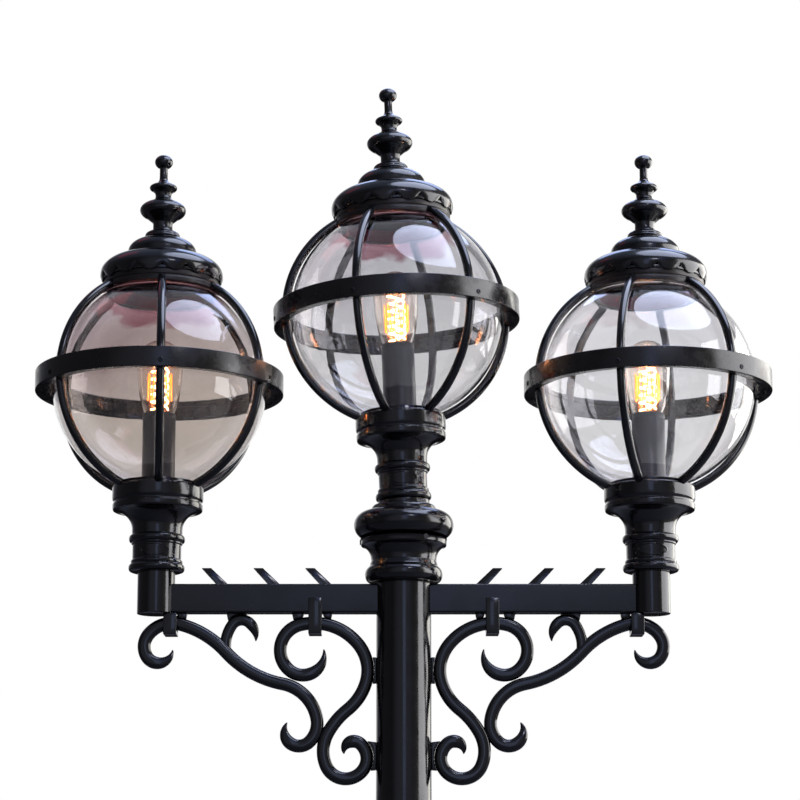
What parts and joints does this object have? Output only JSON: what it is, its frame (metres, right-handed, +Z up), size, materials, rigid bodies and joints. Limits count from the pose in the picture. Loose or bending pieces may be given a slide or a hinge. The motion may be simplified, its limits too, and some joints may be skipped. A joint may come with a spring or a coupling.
{
  "type": "street lamp head",
  "caption": "Street-lamp head: a round column with a cross arm and scroll brackets carries caged clear globe lanterns with hinged scalloped canopies.",
  "frame": {"origin": "centre of the mast socket's mouth, at the bottom of the column stub", "axes": "+Z up along the column, X along the cross arm, -Y towards the front"},
  "size_m": [1.0304, 0.3478, 1.2193],
  "materials": {
    "black_gloss": "black gloss enamel over cast and tubular steel, slightly orange-peeled",
    "bronze_paint": "dark bronze-black satin paint",
    "globe_glass": "clear blown glass, faintly smoky",
    "bulb_glass": "thin amber-tinted lamp glass",
    "lamp_cap": "rolled screw cap",
    "filament": "glowing filament wire on a glass stem",
    "porcelain": "glazed porcelain",
    "cable": "pale grey flexible sheath",
    "terminal_block": "moulded, matt",
    "steel_fixings": "blackened steel"
  },
  "bodies": {
    "frame": {"column_tube": "black_gloss", "mast_stop_ring": "steel_fixings", "collar": "black_gloss", "arm_left": "black_gloss", "arm_right": "black_gloss", "post_left": "black_gloss", "post_right": "black_gloss", "climb_spikes": "black_gloss", "outer_scroll_left": "black_gloss", "outer_scroll_right": "black_gloss", "inner_scroll_left": "black_gloss", "inner_scroll_right": "black_gloss", "scroll_clips": "black_gloss", "scroll_packers": "black_gloss", "terminal_block": "terminal_block", "lamp_cables": "cable", "grub_screws": "steel_fixings"},
    "lantern_left": {"base_left": "black_gloss", "lower_cage_left": "black_gloss", "upper_cage_left": "black_gloss", "band_left": "black_gloss", "globe_left": "globe_glass", "lamp_tube_left": "bronze_paint", "lampholder_left": "porcelain", "bulb_glass_left": "bulb_glass", "bulb_cap_left": "lamp_cap", "filament_left": "filament", "lantern_screws_left": "steel_fixings", "hinge_pin_left": "steel_fixings"},
    "lid_left": {"canopy_left": "black_gloss", "finial_left": "black_gloss"},
    "lantern_centre": {"base_centre": "black_gloss", "lower_cage_centre": "black_gloss", "upper_cage_centre": "black_gloss", "band_centre": "black_gloss", "globe_centre": "globe_glass", "lamp_tube_centre": "bronze_paint", "lampholder_centre": "porcelain", "bulb_glass_centre": "bulb_glass", "bulb_cap_centre": "lamp_cap", "filament_centre": "filament", "lantern_screws_centre": "steel_fixings", "hinge_pin_centre": "steel_fixings"},
    "lid_centre": {"canopy_centre": "black_gloss", "finial_centre": "black_gloss"},
    "lantern_right": {"base_right": "black_gloss", "lower_cage_right": "black_gloss", "upper_cage_right": "black_gloss", "band_right": "black_gloss", "globe_right": "globe_glass", "lamp_tube_right": "bronze_paint", "lampholder_right": "porcelain", "bulb_glass_right": "bulb_glass", "bulb_cap_right": "lamp_cap", "filament_right": "filament", "lantern_screws_right": "steel_fixings", "hinge_pin_right": "steel_fixings"},
    "lid_right": {"canopy_right": "black_gloss", "finial_right": "black_gloss"}
  },
  "joints": [
    {"name": "swivel_left", "type": "hinge", "parent": "frame", "child": "lantern_left", "pos_m": [-0.342, 0, 0.517], "axis": [0, 0, 1], "range_deg": [-40, 40]},
    {"name": "canopy_hinge_left", "type": "hinge", "parent": "lantern_left", "child": "lid_left", "pos_m": [-0.35171, 0.09239, 0.92938], "axis": [-0.9945, -0.1045, 0], "range_deg": [0, 105]},
    {"name": "swivel_centre", "type": "hinge", "parent": "frame", "child": "lantern_centre", "pos_m": [0, 0, 0.6173], "axis": [-0.0384, 0, 0.9993], "range_deg": [-40, 40]},
    {"name": "canopy_hinge_centre", "type": "hinge", "parent": "lantern_centre", "child": "lid_centre", "pos_m": [0.01592, 0.0873, 1.0306], "axis": [-0.939, 0.342, -0.0361], "range_deg": [0, 105]},
    {"name": "swivel_right", "type": "hinge", "parent": "frame", "child": "lantern_right", "pos_m": [0.342, 0, 0.517], "axis": [0, 0, 1], "range_deg": [-40, 40]},
    {"name": "canopy_hinge_right", "type": "hinge", "parent": "lantern_right", "child": "lid_right", "pos_m": [0.37224, 0.08784, 0.92938], "axis": [-0.9455, 0.3256, 0], "range_deg": [0, 105]}
  ]
}
